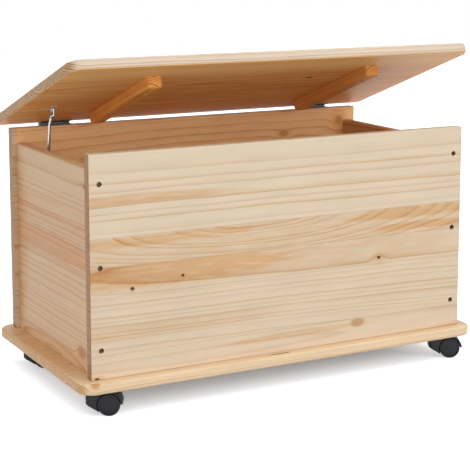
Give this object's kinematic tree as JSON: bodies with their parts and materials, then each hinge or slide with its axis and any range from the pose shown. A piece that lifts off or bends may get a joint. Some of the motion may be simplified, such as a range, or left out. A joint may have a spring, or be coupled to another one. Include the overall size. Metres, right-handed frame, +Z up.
{
  "type": "wooden toy box",
  "caption": "Open-topped pine chest on swivel casters, with a hinged rounded lid that a sliding rod stay holds part open.",
  "frame": {"origin": "on the floor under the middle of the base board", "axes": "+X to the right along the length, -Y the front, +Z up"},
  "size_m": [0.8, 0.429, 0.6035],
  "materials": {
    "pine": "clear satin varnish on glued pine boards",
    "batten_pine": "clear satin varnish on solid pine",
    "zinc_steel": "bright zinc plate",
    "screw_steel": "dull zinc plate",
    "caster_body": "fine moulded texture",
    "caster_wheel": "fine moulded texture"
  },
  "bodies": {
    "root": {"back_panel": "pine", "back_screw_left_high": "screw_steel", "back_screw_left_low": "screw_steel", "back_screw_left_middle": "screw_steel", "back_screw_right_high": "screw_steel", "back_screw_right_low": "screw_steel", "back_screw_right_middle": "screw_steel", "base_board": "pine", "base_screw_front_left": "screw_steel", "base_screw_front_right": "screw_steel", "base_screw_rear_left": "screw_steel", "base_screw_rear_right": "screw_steel", "caster_front_left_plate": "caster_body", "caster_front_right_plate": "caster_body", "caster_rear_left_plate": "caster_body", "caster_rear_right_plate": "caster_body", "front_panel": "pine", "front_screw_left_high": "screw_steel", "front_screw_left_low": "screw_steel", "front_screw_left_middle": "screw_steel", "front_screw_right_high": "screw_steel", "front_screw_right_low": "screw_steel", "front_screw_right_middle": "screw_steel", "hinge_fixed_leaf_left": "zinc_steel", "hinge_fixed_leaf_right": "zinc_steel", "hinge_pin_left": "zinc_steel", "hinge_pin_right": "zinc_steel", "side_panel_left": "pine", "side_panel_right": "pine", "stay_guide_stud": "zinc_steel"},
    "lid": {"batten_screw_left_front": "screw_steel", "batten_screw_left_rear": "screw_steel", "batten_screw_right_front": "screw_steel", "batten_screw_right_rear": "screw_steel", "hinge_moving_leaf_left": "zinc_steel", "hinge_moving_leaf_right": "zinc_steel", "lid_batten_left": "batten_pine", "lid_batten_right": "batten_pine", "lid_panel": "pine", "stay_bracket": "zinc_steel", "stay_rivet": "zinc_steel"},
    "stay_rod": {"stay_rod": "zinc_steel"},
    "stay_guide": {"stay_guide": "zinc_steel"},
    "caster_front_left": {"caster_front_left_hood": "caster_body", "caster_front_left_axle": "zinc_steel"},
    "caster_front_left_wheel_a": {"caster_front_left_wheel_a": "caster_wheel"},
    "caster_front_left_wheel_b": {"caster_front_left_wheel_b": "caster_wheel"},
    "caster_front_right": {"caster_front_right_hood": "caster_body", "caster_front_right_axle": "zinc_steel"},
    "caster_front_right_wheel_a": {"caster_front_right_wheel_a": "caster_wheel"},
    "caster_front_right_wheel_b": {"caster_front_right_wheel_b": "caster_wheel"},
    "caster_rear_left": {"caster_rear_left_hood": "caster_body", "caster_rear_left_axle": "zinc_steel"},
    "caster_rear_left_wheel_a": {"caster_rear_left_wheel_a": "caster_wheel"},
    "caster_rear_left_wheel_b": {"caster_rear_left_wheel_b": "caster_wheel"},
    "caster_rear_right": {"caster_rear_right_hood": "caster_body", "caster_rear_right_axle": "zinc_steel"},
    "caster_rear_right_wheel_a": {"caster_rear_right_wheel_a": "caster_wheel"},
    "caster_rear_right_wheel_b": {"caster_rear_right_wheel_b": "caster_wheel"}
  },
  "joints": [
    {"name": "lid_hinge", "type": "hinge", "parent": "root", "child": "lid", "pos_m": [0, 0.1975, 0.4498], "axis": [-1, 0, 0], "range_deg": [-19.3, 58.7]},
    {"name": "stay_pin", "type": "hinge", "parent": "lid", "child": "stay_rod", "pos_m": [-0.3335, 0.08077, 0.47955], "axis": [-1, 0, 0], "range_deg": [-30, 10]},
    {"name": "stay_guide_swivel", "type": "hinge", "parent": "root", "child": "stay_guide", "pos_m": [-0.3365, 0.0945, 0.38734], "axis": [-1, 0, 0], "range_deg": [-10, 30]},
    {"name": "caster_front_left_swivel", "type": "hinge", "parent": "root", "child": "caster_front_left", "pos_m": [-0.358, -0.163, 0.04], "axis": [0, 0, 1], "continuous": true},
    {"name": "caster_front_left_wheel_a_spin", "type": "hinge", "parent": "caster_front_left", "child": "caster_front_left_wheel_a", "pos_m": [-0.33637, -0.1745, 0.0195], "axis": [0.4695, 0.8829, 0], "continuous": true},
    {"name": "caster_front_left_wheel_b_spin", "type": "hinge", "parent": "caster_front_left", "child": "caster_front_left_wheel_b", "pos_m": [-0.33637, -0.1745, 0.0195], "axis": [0.4695, 0.8829, 0], "continuous": true},
    {"name": "caster_front_right_swivel", "type": "hinge", "parent": "root", "child": "caster_front_right", "pos_m": [0.35, -0.163, 0.04], "axis": [0, 0, 1], "continuous": true},
    {"name": "caster_front_right_wheel_a_spin", "type": "hinge", "parent": "caster_front_right", "child": "caster_front_right_wheel_a", "pos_m": [0.37163, -0.1745, 0.0195], "axis": [0.4695, 0.8829, 0], "continuous": true},
    {"name": "caster_front_right_wheel_b_spin", "type": "hinge", "parent": "caster_front_right", "child": "caster_front_right_wheel_b", "pos_m": [0.37163, -0.1745, 0.0195], "axis": [0.4695, 0.8829, 0], "continuous": true},
    {"name": "caster_rear_left_swivel", "type": "hinge", "parent": "root", "child": "caster_rear_left", "pos_m": [-0.358, 0.142, 0.04], "axis": [0, 0, 1], "continuous": true},
    {"name": "caster_rear_left_wheel_a_spin", "type": "hinge", "parent": "caster_rear_left", "child": "caster_rear_left_wheel_a", "pos_m": [-0.33637, 0.1305, 0.0195], "axis": [0.4695, 0.8829, 0], "continuous": true},
    {"name": "caster_rear_left_wheel_b_spin", "type": "hinge", "parent": "caster_rear_left", "child": "caster_rear_left_wheel_b", "pos_m": [-0.33637, 0.1305, 0.0195], "axis": [0.4695, 0.8829, 0], "continuous": true},
    {"name": "caster_rear_right_swivel", "type": "hinge", "parent": "root", "child": "caster_rear_right", "pos_m": [0.35, 0.142, 0.04], "axis": [0, 0, 1], "continuous": true},
    {"name": "caster_rear_right_wheel_a_spin", "type": "hinge", "parent": "caster_rear_right", "child": "caster_rear_right_wheel_a", "pos_m": [0.37163, 0.1305, 0.0195], "axis": [0.4695, 0.8829, 0], "continuous": true},
    {"name": "caster_rear_right_wheel_b_spin", "type": "hinge", "parent": "caster_rear_right", "child": "caster_rear_right_wheel_b", "pos_m": [0.37163, 0.1305, 0.0195], "axis": [0.4695, 0.8829, 0], "continuous": true}
  ],
  "couplings": [
    {"joint": "stay_pin", "follows": "lid_hinge", "ratio": -0.5},
    {"joint": "stay_guide_swivel", "follows": "lid_hinge", "ratio": 0.5}
  ]
}
